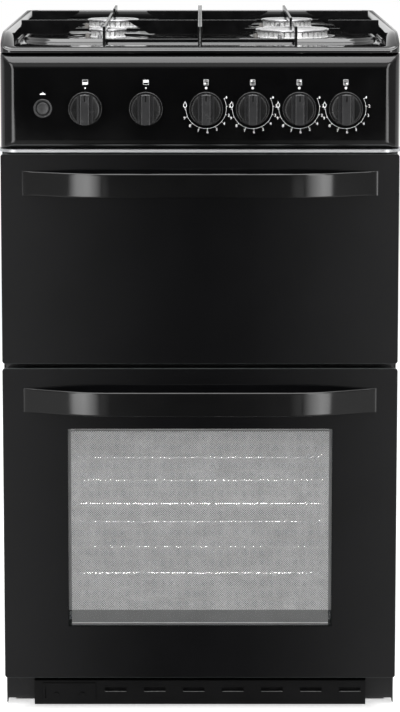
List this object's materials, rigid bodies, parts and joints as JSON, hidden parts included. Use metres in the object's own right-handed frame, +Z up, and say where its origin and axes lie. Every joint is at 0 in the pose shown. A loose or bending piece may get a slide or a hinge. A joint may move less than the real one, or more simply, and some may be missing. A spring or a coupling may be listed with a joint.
{
  "type": "gas cooker",
  "caption": "Free-standing twin-compartment gas cooker: hob with pan supports, knob fascia, grill and oven behind drop-down doors with bowed handles.",
  "frame": {"origin": "on the floor, under the middle of the overall box", "axes": "+Z up, the doors face -Y, +X to the right of someone facing the cooker"},
  "size_m": [0.504, 0.6, 0.879],
  "materials": {
    "black_enamel": "glossy black vitreous enamel",
    "matt_enamel": "satin black enamel",
    "cap_enamel": "polished black enamel",
    "cavity_enamel": "glossy dark speckled enamel",
    "black_paint": "gloss black paint",
    "black_glass": "black toughened glass with a printed window border",
    "clear_glass": "clear toughened glass",
    "handle_metal": "high gloss black paint",
    "galvanised": "galvanised sheet, dull grey",
    "bright_trim": "bright chrome",
    "chrome_wire": "chromed wire",
    "steel": "plain steel",
    "aluminium": "matt cast aluminium",
    "brass": "plain brass",
    "rubber": "black rubber",
    "wool": "mineral wool",
    "electrode": "white ceramic with a steel pin",
    "black_plastic": "satin black plastic"
  },
  "bodies": {
    "cabinet": {"side_panel_left": "black_paint", "side_panel_right": "black_paint", "rear_panel": "galvanised", "base_pan": "galvanised", "levelling_feet": "rubber", "plinth": "black_paint", "plinth_plate": "black_paint", "plinth_screws": "steel", "front_frame": "black_paint", "fascia": "black_paint", "fascia_trim": "bright_trim", "control_tray": "galvanised", "hob_top": "black_enamel", "burner_cups": "aluminium", "burner_crowns": "aluminium", "burner_caps": "cap_enamel", "spark_electrodes": "electrode", "flame_sensors": "electrode", "pan_support_left": "matt_enamel", "pan_support_right": "matt_enamel", "gas_manifold": "steel", "gas_taps": "brass", "gas_tubes": "steel", "gas_inlet": "brass", "oven_liner": "cavity_enamel", "oven_floor_plate": "cavity_enamel", "oven_burner": "steel", "oven_side_racks": "chrome_wire", "grill_liner": "cavity_enamel", "grill_burner": "steel", "insulation": "wool", "flue_duct": "galvanised", "door_seals": "rubber", "hinge_arms": "steel", "ignition_module": "black_plastic", "ignition_bezel": "black_plastic"},
    "oven_door": {"oven_door_glass": "black_glass", "oven_door_panel": "black_paint", "oven_door_inner_glass": "clear_glass", "oven_door_handle": "handle_metal"},
    "grill_door": {"grill_door_glass": "black_glass", "grill_door_panel": "black_paint", "grill_door_handle": "handle_metal"},
    "lower_shelf": {"oven_shelf_lower": "chrome_wire"},
    "upper_shelf": {"oven_shelf_upper": "chrome_wire"},
    "grill_tray": {"grill_pan": "cavity_enamel", "grill_pan_grid": "chrome_wire"},
    "button": {"ignition_button": "black_plastic"},
    "tap_oven": {"spindle_oven": "brass"},
    "dial_oven": {"knob_oven": "black_plastic"},
    "tap_grill": {"spindle_grill": "brass"},
    "dial_grill": {"knob_grill": "black_plastic"},
    "tap_front_left": {"spindle_front_left": "brass"},
    "dial_front_left": {"knob_front_left": "black_plastic"},
    "tap_rear_left": {"spindle_rear_left": "brass"},
    "dial_rear_left": {"knob_rear_left": "black_plastic"},
    "tap_rear_right": {"spindle_rear_right": "brass"},
    "dial_rear_right": {"knob_rear_right": "black_plastic"},
    "tap_front_right": {"spindle_front_right": "brass"},
    "dial_front_right": {"knob_front_right": "black_plastic"}
  },
  "joints": [
    {"name": "oven_door_hinge", "type": "hinge", "parent": "cabinet", "child": "oven_door", "pos_m": [0, -0.256, 0.067], "axis": [1, 0, 0], "range_deg": [0, 90], "stiffness_Nm_per_rad": 2, "springref_deg": -28.65},
    {"name": "grill_door_hinge", "type": "hinge", "parent": "cabinet", "child": "grill_door", "pos_m": [0, -0.256, 0.475], "axis": [1, 0, 0], "range_deg": [0, 90], "stiffness_Nm_per_rad": 1, "springref_deg": -28.65},
    {"name": "lower_shelf_slide", "type": "slide", "parent": "cabinet", "child": "lower_shelf", "axis": [0, -1, 0], "range_m": [0, 0.16]},
    {"name": "upper_shelf_slide", "type": "slide", "parent": "cabinet", "child": "upper_shelf", "axis": [0, -1, 0], "range_m": [0, 0.184]},
    {"name": "grill_pan_slide", "type": "slide", "parent": "cabinet", "child": "grill_tray", "axis": [0, -1, 0], "range_m": [0, 0.152]},
    {"name": "ignition_press", "type": "slide", "parent": "cabinet", "child": "button", "axis": [0, 1, 0], "range_m": [0, 0.0025], "stiffness_N_per_m": 800},
    {"name": "tap_oven_turn", "type": "hinge", "parent": "cabinet", "child": "tap_oven", "pos_m": [-0.143, -0.27, 0.7786], "axis": [0, -1, 0], "range_deg": [0, 270]},
    {"name": "knob_oven_press", "type": "slide", "parent": "tap_oven", "child": "dial_oven", "axis": [0, 1, 0], "range_m": [0, 0.003], "stiffness_N_per_m": 800},
    {"name": "tap_grill_turn", "type": "hinge", "parent": "cabinet", "child": "tap_grill", "pos_m": [-0.0673, -0.27, 0.7786], "axis": [0, -1, 0], "range_deg": [0, 210]},
    {"name": "knob_grill_press", "type": "slide", "parent": "tap_grill", "child": "dial_grill", "axis": [0, 1, 0], "range_m": [0, 0.003], "stiffness_N_per_m": 800},
    {"name": "tap_front_left_turn", "type": "hinge", "parent": "cabinet", "child": "tap_front_left", "pos_m": [0.0076, -0.27, 0.7786], "axis": [0, -1, 0], "range_deg": [0, 298.5]},
    {"name": "knob_front_left_press", "type": "slide", "parent": "tap_front_left", "child": "dial_front_left", "axis": [0, 1, 0], "range_m": [0, 0.003], "stiffness_N_per_m": 800},
    {"name": "tap_rear_left_turn", "type": "hinge", "parent": "cabinet", "child": "tap_rear_left", "pos_m": [0.0656, -0.27, 0.7786], "axis": [0, -1, 0], "range_deg": [0, 298.5]},
    {"name": "knob_rear_left_press", "type": "slide", "parent": "tap_rear_left", "child": "dial_rear_left", "axis": [0, 1, 0], "range_m": [0, 0.003], "stiffness_N_per_m": 800},
    {"name": "tap_rear_right_turn", "type": "hinge", "parent": "cabinet", "child": "tap_rear_right", "pos_m": [0.1237, -0.27, 0.7786], "axis": [0, -1, 0], "range_deg": [0, 298.5]},
    {"name": "knob_rear_right_press", "type": "slide", "parent": "tap_rear_right", "child": "dial_rear_right", "axis": [0, 1, 0], "range_m": [0, 0.003], "stiffness_N_per_m": 800},
    {"name": "tap_front_right_turn", "type": "hinge", "parent": "cabinet", "child": "tap_front_right", "pos_m": [0.1817, -0.27, 0.7786], "axis": [0, -1, 0], "range_deg": [0, 298.5]},
    {"name": "knob_front_right_press", "type": "slide", "parent": "tap_front_right", "child": "dial_front_right", "axis": [0, 1, 0], "range_m": [0, 0.003], "stiffness_N_per_m": 800}
  ],
  "couplings": [
    {"joint": "lower_shelf_slide", "follows": "oven_door_hinge", "m_per_rad": 0.1},
    {"joint": "upper_shelf_slide", "follows": "oven_door_hinge", "m_per_rad": 0.115},
    {"joint": "grill_pan_slide", "follows": "grill_door_hinge", "m_per_rad": 0.095}
  ]
}
